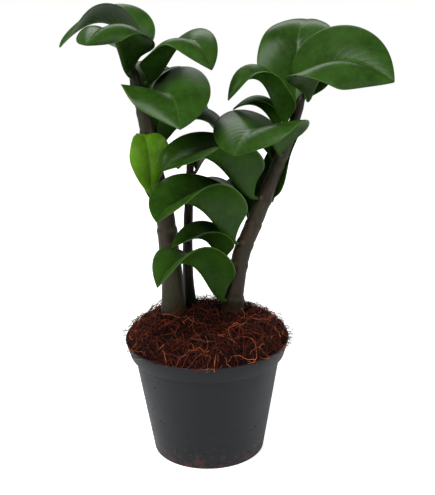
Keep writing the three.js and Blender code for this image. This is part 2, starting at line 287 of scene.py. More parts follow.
def apply_modifier(obj, kind, **settings):
    """Adds a modifier, sets it up and applies it."""
    activate(obj)
    bpy.ops.object.modifier_add(type=kind)
    modifier = obj.modifiers[-1]
    for key, value in settings.items():
        setattr(modifier, key, value)
    bpy.ops.object.modifier_apply(modifier=modifier.name)


def shaped_grid(name, steps_u, steps_v, place):
    """A grid primitive whose points are moved to place(u, v), u and v running from 0 to 1."""
    deselect()
    bpy.ops.mesh.primitive_grid_add(x_subdivisions=steps_u, y_subdivisions=steps_v, size=1)
    obj = bpy.context.object
    obj.name = name
    obj.data.name = name
    for vertex in obj.data.vertices:
        u = min(max(vertex.co.x + 0.5, 0.0), 1.0)
        v = min(max(vertex.co.y + 0.5, 0.0), 1.0)
        vertex.co = place(u, v)
    return obj


def close_seams(obj, distance=1e-6):
    """Welds the seam and the poles of a rolled-up grid and turns its faces outwards."""
    activate(obj)
    bpy.ops.object.mode_set(mode="EDIT")
    bpy.ops.mesh.select_all(action="SELECT")
    bpy.ops.mesh.remove_doubles(threshold=distance)
    bpy.ops.mesh.normals_make_consistent(inside=False)
    bpy.ops.object.mode_set(mode="OBJECT")


def finish_piece(obj, materials, nodes=(), angle=None):
    """Shades a piece smooth, gives it its materials, hides the solids that it stands for and hangs it under
    the root.
    """
    activate(obj)
    if angle is None:
        bpy.ops.object.shade_smooth()
    else:
        bpy.ops.object.shade_smooth_by_angle(angle=math.radians(angle))
    obj.data.materials.clear()
    for material in materials:
        obj.data.materials.append(material)
    if nodes:
        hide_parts(*nodes)
    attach(obj, "root")
    return obj


# ----------------------------------------
# Materials
# ----------------------------------------
class Nodes:
    """A short way to write a material's node tree."""

    def __init__(self, name):
        self.material = bpy.data.materials.new(name)
        self.material.use_nodes = True
        self.tree = self.material.node_tree
        self.shader = self.tree.nodes["Principled BSDF"]
        self.coords = self.tree.nodes.new("ShaderNodeTexCoord")

    def link(self, out, into):
        self.tree.links.new(out, into)

    def set(self, **values):
        for key, value in values.items():
            self.shader.inputs[key.replace("_", " ")].default_value = value

    def mapping(self, source="Object", scale=(1, 1, 1)):
        node = self.tree.nodes.new("ShaderNodeMapping")
        node.inputs["Scale"].default_value = scale
        self.link(self.coords.outputs[source], node.inputs["Vector"])
        return node.outputs["Vector"]

    def noise(self, vector, scale, detail=3.0, rough=0.5, distortion=0.0):
        node = self.tree.nodes.new("ShaderNodeTexNoise")
        node.inputs["Scale"].default_value = scale
        node.inputs["Detail"].default_value = detail
        node.inputs["Roughness"].default_value = rough
        node.inputs["Distortion"].default_value = distortion
        self.link(vector, node.inputs["Vector"])
        return node.outputs["Fac"]

    def voronoi(self, vector, scale, feature="F1"):
        node = self.tree.nodes.new("ShaderNodeTexVoronoi")
        node.feature = feature
        node.inputs["Scale"].default_value = scale
        self.link(vector, node.inputs["Vector"])
        return node.outputs["Distance"]

    def ramp(self, fac, stops):
        node = self.tree.nodes.new("ShaderNodeValToRGB")
        ramp = node.color_ramp
        while len(ramp.elements) < len(stops):
            ramp.elements.new(0.5)
        for element, (place, colour) in zip(ramp.elements, stops):
            element.position = place
            element.color = colour if len(colour) == 4 else (*colour, 1)
        self.link(fac, node.inputs["Fac"])
        return node.outputs["Color"]

    def span(self, value, low, high, new_low=0.0, new_high=1.0):
        node = self.tree.nodes.new("ShaderNodeMapRange")
        node.inputs["From Min"].default_value = low
        node.inputs["From Max"].default_value = high
        node.inputs["To Min"].default_value = new_low
        node.inputs["To Max"].default_value = new_high
        self.link(value, node.inputs["Value"])
        return node.outputs["Result"]

    def math(self, kind, a, b=None):
        node = self.tree.nodes.new("ShaderNodeMath")
        node.operation = kind
        for socket, value in zip(node.inputs, (a, b)):
            if value is None:
                continue
            if isinstance(value, (int, float)):
                socket.default_value = value
            else:
                self.link(value, socket)
        return node.outputs["Value"]

    def blend(self, fac, a, b, kind="MIX"):
        node = self.tree.nodes.new("ShaderNodeMix")
        node.data_type = "RGBA"
        node.blend_type = kind
        fac_socket, a_socket, b_socket = node.inputs[0], node.inputs[6], node.inputs[7]
        for socket, value in ((fac_socket, fac), (a_socket, a), (b_socket, b)):
            if isinstance(value, (int, float)):
                socket.default_value = value
            elif isinstance(value, tuple):
                socket.default_value = value if len(value) == 4 else (*value, 1)
            else:
                self.link(value, socket)
        return node.outputs[2]

    def split(self, vector):
        node = self.tree.nodes.new("ShaderNodeSeparateXYZ")
        self.link(vector, node.inputs["Vector"])
        return node.outputs["X"], node.outputs["Y"], node.outputs["Z"]

    def bump(self, height, strength, distance):
        node = self.tree.nodes.new("ShaderNodeBump")
        node.inputs["Strength"].default_value = strength
        node.inputs["Distance"].default_value = distance
        self.link(height, node.inputs["Height"])
        self.link(node.outputs["Normal"], self.shader.inputs["Normal"])


def rgb(colour):
    """A colour as a plain tuple of three."""
    return tuple(colour)[:3]


def shade(colour, factor):
    return tuple(min(c * factor, 1.0) for c in rgb(colour))


def leaf_material(name, base, pale, roughness, relief):
    """Waxy leaf skin: cloudy greens, a paler midrib and faint veins that follow the blade."""
    n = Nodes(name)
    u, v, _ = n.split(n.coords.outputs["UV"])
    across = n.math("ABSOLUTE", n.math("SUBTRACT", v, 0.5))
    place = n.coords.outputs["Object"]
    cloud = n.noise(place, 55, 4, 0.55)
    broad = n.noise(place, 14, 2, 0.5)
    green = n.ramp(cloud, [(0.30, shade(base, 0.6)), (0.5, rgb(base)), (0.72, shade(base, 1.5))])
    mottle = n.noise(place, 230, 3, 0.6)
    green = n.blend(n.span(mottle, 0.5, 0.7, 0.0, 0.35), green, shade(base, 1.9))
    green = n.blend(n.span(mottle, 0.48, 0.3, 0.0, 0.35), green, shade(base, 0.45))
    green = n.blend(n.span(broad, 0.35, 0.7, 0.0, 0.55), green, shade(base, 1.5))
    # Side veins leave the midrib at a slant and bend towards the tip.
    slant = n.math("SUBTRACT", n.math("MULTIPLY", u, 13.0), n.math("MULTIPLY", across, 9.0))
    wobble = n.math("ADD", slant, n.math("MULTIPLY", cloud, 0.5))
    ridge = n.math("POWER", n.math("ABSOLUTE", n.math("SINE", n.math("MULTIPLY", wobble, math.pi))), 6.0)
    fade = n.span(across, 0.02, 0.46, 1.0, 0.0)
    vein = n.math("MULTIPLY", ridge, fade)
    green = n.blend(n.math("MULTIPLY", vein, 0.06), green, rgb(pale))
    rib = n.span(across, 0.004, 0.022, 1.0, 0.0)
    green = n.blend(n.math("MULTIPLY", rib, 0.45), green, rgb(pale))
    # Painted highlight: the blade is paled towards its margins, where light catches the rounded edge.
    painted_edge_highlight = n.span(across, 0.475, 0.495, 0.0, 0.8)
    green = n.blend(painted_edge_highlight, green, shade(pale, 1.1))
    n.link(green, n.shader.inputs["Base Color"])
    n.link(n.span(cloud, 0.2, 0.8, roughness * 0.8, roughness * 1.3), n.shader.inputs["Roughness"])
    fine = n.noise(place, 900, 2, 0.6)
    height = n.math("ADD", n.math("MULTIPLY", vein, -0.22), n.math("MULTIPLY", fine, 0.12))
    n.bump(n.math("ADD", height, n.math("MULTIPLY", broad, 1.5)), relief, 0.0006)
    n.set(Specular_IOR_Level=0.16)
    return n.material


def cloudy_material(name, colour, cloud, stops, roughness, specular=0.5, relief=None):
    """One colour in cloudy shades, with roughness and relief that follow them."""
    n = Nodes(name)
    tone = n.noise(n.coords.outputs["Object"], *cloud)
    shades = n.ramp(tone, [(place, shade(colour, factor)) for place, factor in stops])
    n.link(shades, n.shader.inputs["Base Color"])
    n.link(n.span(tone, 0.2, 0.8, *roughness), n.shader.inputs["Roughness"])
    n.set(Specular_IOR_Level=specular)
    if relief:
        n.bump(tone, *relief)
    return n.material


# Painted highlight: the leaf's rim faces are painted a bright yellow-green where the light catches the
# rounded margin.
def painted_highlight_margin_material(name, colour):
    return cloudy_material(name, colour, (90, 3), [(0.3, 0.7), (0.7, 1.2)], (0.35, 0.5))


def strand_material(name, colour):
    stops = [(0.3, 0.45), (0.55, 1), (0.8, 1.5)]
    return cloudy_material(name, colour, (160, 3, 0.6), stops, (0.45, 0.7), specular=0.2)


def tuber_material(name, colour):
    stops = [(0.3, 0.5), (0.6, 1), (0.8, 1.2)]
    return cloudy_material(name, colour, (140, 5, 0.65), stops, (0.65, 0.9), relief=(0.6, 0.0008))


def stem_material(name, brown, green):
    """Stalk skin: brown over green in long streaks, with dark flecks and pale green specks."""
    n = Nodes(name)
    place = n.coords.outputs["Object"]
    streaks = n.noise(n.mapping(scale=(1, 1, 0.22)), 230, 4, 0.6)
    patches = n.noise(place, 38, 3, 0.6)
    tone = n.ramp(streaks, [(0.3, shade(brown, 0.5)), (0.52, rgb(brown)), (0.75, shade(brown, 1.5))])
    tone = n.blend(n.span(patches, 0.45, 0.68, 0.0, 0.8), tone, rgb(green))
    flecks = n.noise(place, 620, 2, 0.7)
    tone = n.blend(n.span(flecks, 0.58, 0.72, 0.0, 0.6), tone, shade(brown, 0.25))
    tone = n.blend(n.span(n.noise(place, 480, 1), 0.66, 0.74, 0.0, 0.4), tone, shade(green, 2.2))
    n.link(tone, n.shader.inputs["Base Color"])
    n.link(n.span(patches, 0.3, 0.7, 0.38, 0.6), n.shader.inputs["Roughness"])
    n.set(Specular_IOR_Level=0.3)
    n.bump(n.math("ADD", streaks, n.math("MULTIPLY", flecks, 0.5)), 0.35, 0.0005)
    return n.material


def plastic_material(name, colour, dust):
    """Moulded plastic: faint flow marks, scuffs, and a film of mix dust towards the foot."""
    n = Nodes(name)
    place = n.coords.outputs["Object"]
    cloud = n.noise(place, 30, 4, 0.6)
    tone = n.ramp(cloud, [(0.3, shade(colour, 0.86)), (0.7, shade(colour, 1.14))])
    marks = n.noise(n.mapping(scale=(1, 1, 9)), 60, 3, 0.6)
    tone = n.blend(n.span(marks, 0.6, 0.78, 0.0, 0.22), tone, shade(colour, 1.7))
    _, _, z = n.split(place)
    low = n.span(z, 0.0, 0.024, 1.0, 0.0)
    specks = n.noise(place, 210, 4, 0.7)
    film = n.math("ADD", n.math("MULTIPLY", low, 0.22), 0.02)
    dusty = n.math("GREATER_THAN", n.math("ADD", specks, film), 0.72)
    tone = n.blend(n.math("MULTIPLY", dusty, 0.7), tone, rgb(dust))
    n.link(tone, n.shader.inputs["Base Color"])
    n.link(n.span(cloud, 0.2, 0.8, 0.42, 0.56), n.shader.inputs["Roughness"])
    n.set(Specular_IOR_Level=0.24)
    fine = n.noise(place, 1400, 2, 0.6)
    rings = n.noise(n.mapping(scale=(0.05, 0.05, 1)), 190, 1, 0.4)
    relief = n.math("ADD", n.math("MULTIPLY", dusty, 3.0), n.math("MULTIPLY", rings, 4.0))
    n.bump(n.math("ADD", fine, relief), 0.16, 0.0003)
    return n.material


def coir_material(name, dark, light, scale=1.0):
    """Damp coir: near-black hollows, red-brown crumbs and paler flecks."""
    n = Nodes(name)
    place = n.coords.outputs["Object"]
    grain = n.noise(place, 330 * scale, 6, 0.7)
    patch = n.noise(place, 60 * scale, 3, 0.6)
    tone = n.ramp(grain, [(0.3, shade(dark, 0.25)), (0.5, rgb(dark)), (0.72, rgb(light))])
    tone = n.blend(n.span(patch, 0.35, 0.7, 0.0, 0.5), tone, shade(dark, 0.5))
    n.link(tone, n.shader.inputs["Base Color"])
    n.link(n.span(grain, 0.3, 0.7, 0.75, 0.95), n.shader.inputs["Roughness"])
    n.set(Specular_IOR_Level=0.08)
    n.bump(n.math("ADD", grain, n.voronoi(place, 420 * scale)), 0.8, 0.0012)
    return n.material


# ----------------------------------------
# Settings
# ----------------------------------------
def length_setting(name, description, default):
    return bpy.props.FloatProperty(
        name=name, description=description, default=default, min=0.0, unit="LENGTH", precision=5
    )


def colour_setting(name, description, default):
    return bpy.props.FloatVectorProperty(
        name=name, description=description, default=default, subtype="COLOR", size=3, min=0, max=1
    )


def count_setting(name, description, default, most):
    return bpy.props.IntProperty(name=name, description=description, default=default, min=0, max=most)


def power_setting(name, description, default):
    return bpy.props.FloatProperty(name=name, description=description, default=default, min=0, unit="POWER")


class ZZ_PotSettings(bpy.types.PropertyGroup):
    """Sizes and colours of the nursery pot."""

    rim_radius: length_setting("Rim radius", "Outer radius at the mouth", POT_HIGH.x)
    height: length_setting("Height", "Height of the pot", POT_HIGH.z)
    base_radius: length_setting("Base radius", "Outer radius at the foot", 0.041)
    wall: length_setting("Wall", "Thickness of the wall", 0.0014)
    band_height: length_setting("Band height", "Height of the band round the mouth", 0.012)
    band_step: length_setting("Band step", "How far the band stands out from the wall", 0.003)
    band_flare: length_setting("Band flare", "How much the band widens to its top", 0.0035)
    floor: length_setting("Floor", "Thickness of the floor", 0.0018)
    foot_height: length_setting("Foot height", "How far the floor is raised", 0.003)
    foot_width: length_setting("Foot width", "Width of the ring it stands on", 0.0035)
    pad_radius: length_setting("Pad radius", "Radius of the pad in the middle", 0.013)
    drain_radius: length_setting("Drain radius", "Radius of a drainage hole", 0.0035)
    drains: count_setting("Drains", "Number of drainage holes", 8, 24)
    colour: colour_setting("Plastic", "Colour of the plastic", (0.0075, 0.0092, 0.0122))
    dust: colour_setting("Dust", "Colour of the mix that clings to it", (0.055, 0.018, 0.010))


class ZZ_MixSettings(bpy.types.PropertyGroup):
    """The mound of potting mix and what lies on it."""

    shoulder: length_setting("Shoulder", "Height of the shoulder above the rim", 0.009)
    inset: length_setting("Shoulder inset", "How far in from the rim the shoulder lies", 0.009)
    lip_drop: length_setting("Lip drop", "Depth below the rim's edge where it meets it", 0.0015)
    relief: length_setting("Relief", "Height of the crumbs in the surface", 0.0022)
    strands: count_setting("Strands", "Number of loose coir strands", 1500, 5000)
    crumbs: count_setting("Crumbs", "Number of loose crumbs", 1100, 4000)
    strand_radius: length_setting("Strand radius", "Radius of a thick strand", 0.00017)
    dark: colour_setting("Dark mix", "Colour of the damp mix", (0.012, 0.0022, 0.0012))
    light: colour_setting("Light mix", "Colour of its dry crumbs", (0.055, 0.0085, 0.0035))
    russet: colour_setting("Russet strands", "Colour of most strands", (0.170, 0.024, 0.005))
    straw: colour_setting("Pale strands", "Colour of the palest strands", (0.62, 0.17, 0.065))


class ZZ_PlantSettings(bpy.types.PropertyGroup):
    """Stems and leaves."""

    thickness: length_setting("Leaf thickness", "Thickness of a blade beside its midrib", 0.0011)
    keel: length_setting("Keel", "Extra thickness of the midrib at the base", 0.0012)
    upper: colour_setting("Upper side", "Colour of a leaf's upper side", (0.018, 0.053, 0.0045))
    under: colour_setting("Underside", "Colour of a leaf's underside", (0.009, 0.030, 0.0035))
    vein: colour_setting("Veins", "Colour of midribs and veins", (0.060, 0.125, 0.020))
    # Painted highlight: this bright yellow-green stands in for the light that catches the rounded leaf edge.
    margin: colour_setting("Margin", "Colour painted on the leaf margin as its highlight", (0.13, 0.23, 0.04))
    # Painted light: a brighter yellow-green that stands in for the backlit glow of one leaf.
    painted_backlit: colour_setting("Painted backlit leaf", "Colour painted on the leaf as its backlit glow", (0.070, 0.175, 0.005))
    stem_brown: colour_setting("Stem brown", "Main colour of the stems", (0.028, 0.018, 0.008))
    stem_green: colour_setting("Stem green", "Green that shows through", (0.018, 0.029, 0.008))
    tuber: colour_setting("Tuber", "Skin of the buried tubers", (0.42, 0.30, 0.15))


class ZZ_StageSettings(bpy.types.PropertyGroup):
    """Floor, lights and camera."""

    key: power_setting("Key light", "Power of the main light", 20)
    fill: power_setting("Fill light", "Power of the fill light", 5)
    back: power_setting("Back light", "Power of the light behind", 7)
    sky: bpy.props.FloatProperty(
        name="Surround", description="Light that the white surround casts", default=0.2, min=0
    )
    glow: bpy.props.FloatProperty(
        name="Floor glow", description="Light the floor gives off, which keeps it white", default=0.72, min=0
    )
    pitch: bpy.props.FloatProperty(
        name="Pitch", description="How far the camera looks down",
        default=math.radians(18.3), subtype="ANGLE",
    )
    roll: bpy.props.FloatProperty(
        name="Roll", description="Camera roll", default=math.radians(-0.91), subtype="ANGLE"
    )
    lens: bpy.props.FloatProperty(
        name="Lens", description="Focal length", default=75, min=10, unit="CAMERA"
    )
    place: bpy.props.FloatVectorProperty(
        name="Camera place", description="Where the camera stands", size=3,
        default=(0.00855, -0.700, 0.387), subtype="XYZ", unit="LENGTH",
    )


# ----------------------------------------
# Pot
# ----------------------------------------
def along_profile(profile, share):
    """Point on a list of (radius, height), each stretch taking an equal share."""
    at = share * (len(profile) - 1)
    i = min(int(at + 1e-9), len(profile) - 2)
    w = at - i
    (r0, z0), (r1, z1) = profile[i], profile[i + 1]
    return r0 + (r1 - r0) * w, z0 + (z1 - z0) * w


def revolve(name, profile, segments):
    """A solid of revolution from a closed run of (radius, height) that starts on the axis."""

    def place(u, v):
        r, z = along_profile(profile, v)
        angle = 2 * math.pi * u
        return Vector((r * math.cos(angle), r * math.sin(angle), z))

    obj = shaped_grid(name, segments, len(profile) - 1, place)
    close_seams(obj)
    return obj


def soften(points, radius, steps=3):
    """Rounds the corners of a profile, so that its edges catch the light."""
    out = [points[0]]
    for a, b, c in zip(points, points[1:], points[2:]):
        pa, pb, pc = Vector(a), Vector(b), Vector(c)
        back = min(radius, (pa - pb).length * 0.45)
        ahead = min(radius, (pc - pb).length * 0.45)
        start = pb + (pa - pb).normalized() * back
        end = pb + (pc - pb).normalized() * ahead
        for i in range(steps + 1):
            t = i / steps
            out.append(tuple(start * (1 - t) ** 2 + pb * 2 * t * (1 - t) + end * t * t))
    out.append(points[-1])
    return out


class ZZ_OT_pot(bpy.types.Operator):
    """Model the round nursery pot"""

    bl_idname = "zz.pot"
    bl_label = "Nursery Pot"

    def execute(self, context):
        s = context.scene.zz_pot
        band_foot = s.height - s.band_height
        band_radius = s.rim_radius - s.band_flare
        wall_top = band_radius - s.band_step
        inside = s.foot_height + s.floor
        ring = s.base_radius - s.foot_width
        outer = [
            (0, 0), (s.pad_radius, 0), (s.pad_radius + 0.001, s.foot_height),
            (ring - 0.001, s.foot_height), (ring, 0), (s.base_radius, 0),
            (wall_top, band_foot), (band_radius, band_foot),
            (s.rim_radius, s.height), (s.rim_radius - s.wall, s.height),
            (band_radius - s.wall, band_foot + s.wall), (wall_top - s.wall, band_foot + s.wall),
            (s.base_radius + 0.0008 - s.wall, inside), (0, inside),
        ]
        pot = revolve("nursery_pot_shell", soften(outer, 0.0007), 144)
        drain_circle = (s.pad_radius + ring) / 2
        for i in range(s.drains):
            angle = 2 * math.pi * (i + 0.5) / s.drains
            deselect()
            bpy.ops.mesh.primitive_cylinder_add(
                vertices=24, radius=s.drain_radius, depth=4 * inside,
                location=(drain_circle * math.cos(angle), drain_circle * math.sin(angle), 0),
            )
            drill = context.object
            apply_modifier(pot, "BOOLEAN", object=drill, operation="DIFFERENCE", solver="EXACT")
            bpy.data.objects.remove(drill, do_unlink=True)
        material = plastic_material("moulded_plastic", s.colour, s.dust)
        finish_piece(pot, [material], ["nursery_pot"], angle=35)
        return {"FINISHED"}


# ----------------------------------------
# Potting mix
# ----------------------------------------
def mound_height(r, angle, s, pot):
    """Height of the mound's rough surface at a radius and an angle."""
    mouth = pot.rim_radius - pot.wall - CLEARANCE * MM
    rim = pot.height
    profile = [
        (0.0, CROWN), (mouth * 0.3, CROWN - 0.0004),
        (mouth * 0.62, rim + s.shoulder + 0.6 * (CROWN - rim - s.shoulder)),
        (mouth - 1.1 * s.inset, rim + s.shoulder), (mouth - 0.6 * s.inset, rim + 0.8 * s.shoulder),
        (mouth - 0.25 * s.inset, rim + 0.45 * s.shoulder), (mouth - 0.0004, rim - s.lip_drop),
    ]
    z = profile[-1][1]
    for (r0, z0), (r1, z1) in zip(profile, profile[1:]):
        if r <= r1:
            z = z0 + (z1 - z0) * max(0.0, (r - r0) / (r1 - r0))
            break
    x, y = r * math.cos(angle), r * math.sin(angle)
    lumps = noise.noise(Vector((x * 70, y * 70, 1.7))) * 1.1
    crumbs = noise.turbulence(Vector((x * 260, y * 260, 4.2)), 3, False) - 0.45
    fade = smoothstep(mouth - r, 0.0, 0.006)
    return z + s.relief * (lumps + crumbs) * (0.35 + 0.65 * fade)


class ZZ_OT_mix(bpy.types.Operator):
    """Model the mound of potting mix"""

    bl_idname = "zz.mix"
    bl_label = "Potting Mix"

    def execute(self, context):
        s, pot = context.scene.zz_mix, context.scene.zz_pot
        gap = CLEARANCE * MM
        mouth = pot.rim_radius - pot.wall - gap - 0.0004
        bottom = pot.foot_height + pot.floor + gap
        band_foot = pot.height - pot.band_height
        neck = pot.rim_radius - pot.band_flare - pot.band_step - pot.wall - gap
        buried = [
            (0, bottom), (pot.base_radius - pot.wall - gap, bottom), (neck, band_foot),
            (neck, band_foot + pot.wall + gap), (neck + pot.band_step, band_foot + pot.wall + gap),
        ]
        rows, sides, below = 84, 220, len(buried)
        total = rows + below

        def place(u, v):
            angle = 2 * math.pi * u
            i = round(v * total)
            if i < below:
                r, z = buried[i]
            else:
                r = mouth * (1 - ((i - below) / rows))
                z = mound_height(r, angle if r > 1e-6 else 0.0, s, pot)
            return Vector((r * math.cos(angle), r * math.sin(angle), z))

        mound = shaped_grid("coir_mound", sides, total, place)
        close_seams(mound)
        material = coir_material("damp_coir", s.dark, s.light)
        finish_piece(mound, [material], ["potting_mix"])
        return {"FINISHED"}


def strand_points(rng, s, pot, lift):
    """A loose strand: a bent thread that lies on the mound and may stand up at one end."""
    mouth = pot.rim_radius - pot.wall
    r = mouth * math.sqrt(rng.choice((rng.uniform(0.02, 0.98), rng.uniform(0.72, 0.99))))
    angle = rng.uniform(0, 2 * math.pi)
    x, y = r * math.cos(angle), r * math.sin(angle)
    heading = rng.uniform(0, 2 * math.pi)
    turn = rng.gauss(0, 0.22)
    length = min(abs(rng.gauss(0.011, 0.010)) + 0.004, 0.040)
    steps = 7
    rise = rng.uniform(0.0, lift)
    arch = rng.uniform(0.2, 1.0) * 0.0026
    points = []
    for i in range(steps + 1):
        t = i / steps
        here = math.hypot(x, y)
        z = mound_height(min(here, mouth - 0.0008), math.atan2(y, x), s, pot)
        over = max(0.0, here - mouth)
        z += arch * math.sin(math.pi * t) + rise * t**2 + 0.0002 - over * 0.25
        points.append((x, y, z))
        heading += turn + rng.gauss(0, 0.13)
        x += length / steps * math.cos(heading)
        y += length / steps * math.sin(heading)
        if math.hypot(x, y) > pot.rim_radius + RIM_OVERHANG:
            break
    return points


def near_stem(points, room):
    """True if a strand would run through a stem."""
    for path in PATHS.values():
        foot = path.points[0]
        reach = path.radius(0) * MM + room
        for x, y, _ in points:
            if math.hypot(x - foot.x * MM, y - foot.y * MM) < reach:
                return True
    return False


def strand_piece(name, runs, radius, material):
    """One mesh of many thin four-sided strands."""
    curve = bpy.data.curves.new(name, "CURVE")
    curve.dimensions = "3D"
    curve.bevel_depth = radius
    curve.bevel_resolution = 0
    curve.use_fill_caps = True
    for points, thick in runs:
        spline = curve.splines.new("POLY")
        spline.points.add(len(points) - 1)
        for i, (point, p) in enumerate(zip(spline.points, points)):
            point.co = (*p, 1)
            point.radius = thick * (0.45 + 0.55 * math.sin(math.pi * (0.15 + 0.7 * i / len(points))))
    obj = bpy.data.objects.new(name, curve)
    bpy.context.collection.objects.link(obj)
    activate(obj)
    bpy.ops.object.convert(target="MESH")
    return finish_piece(bpy.context.object, [material])


class ZZ_OT_strands(bpy.types.Operator):
    """Scatter loose coir strands over the mound"""

    bl_idname = "zz.strands"
    bl_label = "Coir Strands"

    def execute(self, context):
        s, pot = context.scene.zz_mix, context.scene.zz_pot
        rng = random.Random(STRAND_SEED)
        kinds = {
            "dark": (0.66, shade(s.russet, 0.12), 0.007),
            "russet": (0.29, s.russet, 0.010),
            "pale": (0.05, s.straw, 0.007),
        }
        for kind, (share, colour, lift) in kinds.items():
            runs = []
            while len(runs) < int(s.strands * share):
                points = strand_points(rng, s, pot, lift)
                thick = rng.uniform(0.45, 1.1)
                if len(points) > 3 and not near_stem(points, 0.0008):
                    runs.append((points, thick))
            material = strand_material("strand_" + kind, colour)
            strand_piece("coir_strands_" + kind, runs, s.strand_radius, material)
        return {"FINISHED"}


def crumb_places(rng, s, pot):
    """Where the loose crumbs lie: on the mound, on the rim and on the pot's wall."""
    mouth = pot.rim_radius - pot.wall
    for _ in range(s.crumbs):
        r = mouth * math.sqrt(rng.uniform(0.0, 0.99))
        angle = rng.uniform(0, 2 * math.pi)
        size = rng.uniform(0.0005, 0.0016)
        z = mound_height(min(r, mouth - 0.0008), angle, s, pot)
        point = (r * math.cos(angle), r * math.sin(angle), z + size * 0.4)
        if not near_stem([point], size):
            yield point, size
    band_foot = pot.height - pot.band_height
    wall_top = pot.rim_radius - pot.band_flare - pot.band_step
    for _ in range(WALL_CRUMBS):
        z = band_foot * rng.random() ** 1.3 * 0.97 + 0.001
        angle = rng.uniform(0, 2 * math.pi)
        r = pot.base_radius + (wall_top - pot.base_radius) * z / band_foot
        size = rng.uniform(0.00025, 0.0006)
        yield (r * math.cos(angle), r * math.sin(angle), z), size


class ZZ_OT_crumbs(bpy.types.Operator):
    """Scatter loose crumbs of mix"""

    bl_idname = "zz.crumbs"
    bl_label = "Crumbs"

    def execute(self, context):
        s, pot = context.scene.zz_mix, context.scene.zz_pot
        rng = random.Random(CRUMB_SEED)
        deselect()
        bpy.ops.mesh.primitive_ico_sphere_add(subdivisions=1, radius=1)
        seed = context.object
        corners = [v.co.copy() for v in seed.data.vertices]
        faces = [tuple(p.vertices) for p in seed.data.polygons]
        points, polygons = [], []
        for place, size in crumb_places(rng, s, pot):
            turn = Quaternion(
                (rng.gauss(0, 1), rng.gauss(0, 1), rng.gauss(0, 1), rng.gauss(0, 1))
            ).normalized()
            stretch = Vector((rng.uniform(0.6, 1.5), rng.uniform(0.6, 1.1), rng.uniform(0.5, 0.9)))
            start = len(points)
            for corner in corners:
                p = corner * rng.uniform(0.75, 1.2) * size
                p = turn @ Vector((p.x * stretch.x, p.y * stretch.y, p.z * stretch.z))
                points.append(p + Vector(place))
            polygons += [tuple(start + i for i in face) for face in faces]
        mesh = bpy.data.meshes.new("coir_crumbs")
        mesh.from_pydata(points, [], polygons)
        seed.data = mesh
        seed.name = "coir_crumbs"
        material = coir_material("crumb_coir", s.dark, s.light, 1.4)
        finish_piece(seed, [material], angle=40)
        return {"FINISHED"}


# ----------------------------------------
# Stems and tubers
# ----------------------------------------
def stem_rings(name):
    """Places along a stem where a leaf stands, as the share of its length."""
    return sorted(leaf["at"] for leaf in LEAVES if leaf["stem"] == name)


def stem_piece(name, material):
    path = PATHS[name]
    joints = stem_rings(name)
    crown = Vector((0, 0, CROWN))

    def place(u, v):
        angle = 2 * math.pi * u
        if v < BURIED_SHARE:
            depth = 1 - v / BURIED_SHARE
            centre = path.points[0] - Vector((0, 0, BURIED * depth))
            tangent = Vector((0, 0, 1))
            radius = path.radius(0) * (1 - 0.2 * depth)
            if v == 0:
                radius = 0
        else:
            t = (v - BURIED_SHARE) / (1 - BURIED_SHARE)
            dome = smoothstep(t, 0.955, 1.0)
            centre = path.at(t) + path.tangent(1) * dome * path.radius(1)
            tangent = path.tangent(t)
            radius = path.radius(t) * math.sqrt(max(0.0, 1 - dome**2))
            for joint in joints:
                away = (t - joint) * path.lengths[-1]
                swell = NODE_SWELL * math.exp(-((away / 2.6) ** 2))
                neck = NODE_NECK * math.exp(-(((away - 3.4) / 1.3) ** 2))
                radius *= 1 + swell - neck
            wobble = noise.noise(Vector((math.cos(angle) * 1.3, math.sin(angle) * 1.3, t * 16 + len(name))))
            radius *= 1 + STALK_WOBBLE * wobble
        side = Vector((1, 0, 0)) - tangent * tangent.x
        side.normalize()
        other = tangent.cross(side)
        offset = side * math.cos(angle) + other * math.sin(angle)
        return (centre + offset * radius) * MM + crown

    stem = shaped_grid("stalk_" + name, 28, 150, place)
    close_seams(stem)
    return finish_piece(stem, [material], ["stem_" + name])


class ZZ_OT_stems(bpy.types.Operator):
    """Model the fleshy stems and finish the buried tubers"""

    bl_idname = "zz.stems"
    bl_label = "Stems"

    def execute(self, context):
        s = context.scene.zz_plant
        material = stem_material("stalk_skin", s.stem_brown, s.stem_green)
        for name in STEMS:
            stem_piece(name, material)
        skin = tuber_material("tuber_skin", s.tuber)
        for name in STEMS:
            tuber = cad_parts["rhizome_" + name]
            tuber.data.materials.clear()
            tuber.data.materials.append(skin)
        return {"FINISHED"}


# ----------------------------------------
# Leaves
# ----------------------------------------
def bent(u, leaf):
    """Share of the bending done at u."""
    low, here, high = (1 / (1 + math.exp(-leaf["sharp"] * (x - leaf["foldAt"]))) for x in (0, u, 1))
    return (here - low) / (high - low)


def blade_profile(u):
    """Half-width of the blade as a share of its greatest."""
    rise, fall = 0.5, 0.92
    peak = rise / (rise + fall)
    return (u**rise * (1 - u) ** fall) / (peak**rise * (1 - peak) ** fall)


def midrib(leaf, steps):
    """Midrib points and the frame (left, up) at even steps of u."""
    path = PATHS[leaf["stem"]]
    tangent = path.tangent(leaf["at"])
    side = leaf["heading"][0] if leaf["side"] is None else leaf["side"]
    away = Vector((math.cos(math.radians(side)), math.sin(math.radians(side)), 0))
    away = (away - tangent * away.dot(tangent)).normalized()
    place = path.at(leaf["at"]) + away * (path.radius(leaf["at"]) + CLEARANCE + SOLID_LEAF)
    frames = []
    for i in range(steps + 1):
        u = i / steps
        pitch = mix((leaf["rise"], leaf["droop"]), bent(u, leaf)) - leaf["reach"] * math.exp(-u / REACH_END)
        yaw = math.radians(mix(leaf["heading"], u))
        pitch = math.radians(pitch)
        along = Vector((math.cos(pitch) * math.cos(yaw), math.cos(pitch) * math.sin(yaw), math.sin(pitch)))
        left = Vector((-math.sin(yaw), math.cos(yaw), 0))
        left.rotate(Quaternion(along, math.radians(mix(leaf["roll"], u))))
        up = along.cross(left)
        if i:
            place = place + along * (leaf["length"] / steps)
        frames.append((place.copy(), left, up))
    return frames


